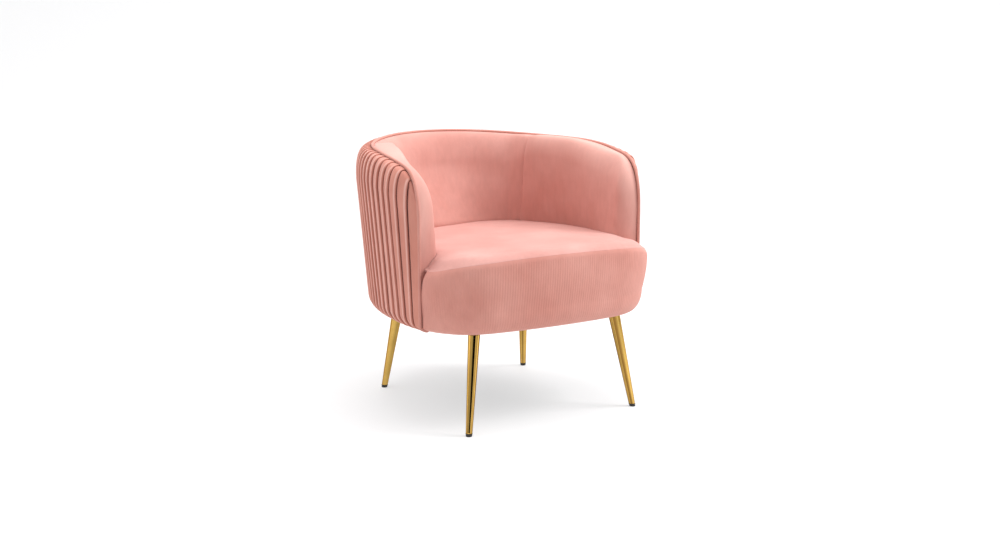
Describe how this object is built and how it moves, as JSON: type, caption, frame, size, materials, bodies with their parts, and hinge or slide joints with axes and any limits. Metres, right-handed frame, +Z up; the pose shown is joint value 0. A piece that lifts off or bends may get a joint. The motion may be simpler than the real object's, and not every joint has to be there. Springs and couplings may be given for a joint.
{
  "type": "upholstered armchair",
  "caption": "Rounded tub armchair in pink velvet: one-piece back and arms with knife pleats outside, piped rim, fixed crowned seat, splayed gold-tone tapered legs.",
  "frame": {"origin": "on the floor, under the middle of the chair's overall box", "axes": "+Z up; -Y is the way the sitter faces; +X is to the right when the chair is seen from its front; the YZ plane is the mirror plane"},
  "size_m": [0.7458, 0.7384, 0.696],
  "materials": {
    "velvet": "short-pile velvet, dusty salmon pink, pale sheen at grazing angles",
    "ribbed_velvet": "the same velvet with fine vertical ribs about 7 mm apart",
    "foam": "cream polyurethane foam",
    "wadding": "white polyester wadding",
    "timber": "sawn plywood and pine",
    "fibreboard": "thin brown fibreboard",
    "webbing": "woven elastic webbing, black",
    "non_woven": "black spun-bonded dust cloth",
    "gold_tube": "polished gold-tone plating on steel tube",
    "black_plastic": "satin black moulded plastic",
    "steel": "zinc-plated steel"
  },
  "bodies": {
    "root": {"outer_back_cover": "velvet", "rim_piping": "velvet", "inside_back_cover": "velvet", "inside_arm_left_cover": "velvet", "inside_arm_right_cover": "velvet", "seat_top_cover": "velvet", "front_band_cover": "ribbed_velvet", "back_foam": "foam", "arm_left_foam": "foam", "arm_right_foam": "foam", "seat_foam": "foam", "outer_wadding": "wadding", "front_wadding": "wadding", "back_top_rail": "timber", "arm_front_post_left": "timber", "arm_front_post_right": "timber", "arm_rear_post_left": "timber", "arm_rear_post_right": "timber", "back_post_left": "timber", "back_post_right": "timber", "seat_front_rail": "timber", "seat_side_rail_left": "timber", "seat_side_rail_right": "timber", "seat_rear_rail": "timber", "base_panel": "timber", "outer_back_board": "fibreboard", "seat_webbing_1": "webbing", "seat_webbing_2": "webbing", "seat_webbing_3": "webbing", "seat_webbing_4": "webbing", "seat_webbing_5": "webbing", "dust_cover": "non_woven", "leg_front_left": "gold_tube", "leg_front_right": "gold_tube", "leg_rear_left": "gold_tube", "leg_rear_right": "gold_tube", "foot_cap_front_left": "black_plastic", "foot_cap_front_right": "black_plastic", "foot_cap_rear_left": "black_plastic", "foot_cap_rear_right": "black_plastic", "leg_stud_front_left": "steel", "leg_stud_front_right": "steel", "leg_stud_rear_left": "steel", "leg_stud_rear_right": "steel", "leg_plate_front_left": "steel", "leg_plate_front_right": "steel", "leg_plate_rear_left": "steel", "leg_plate_rear_right": "steel"}
  },
  "joints": []
}
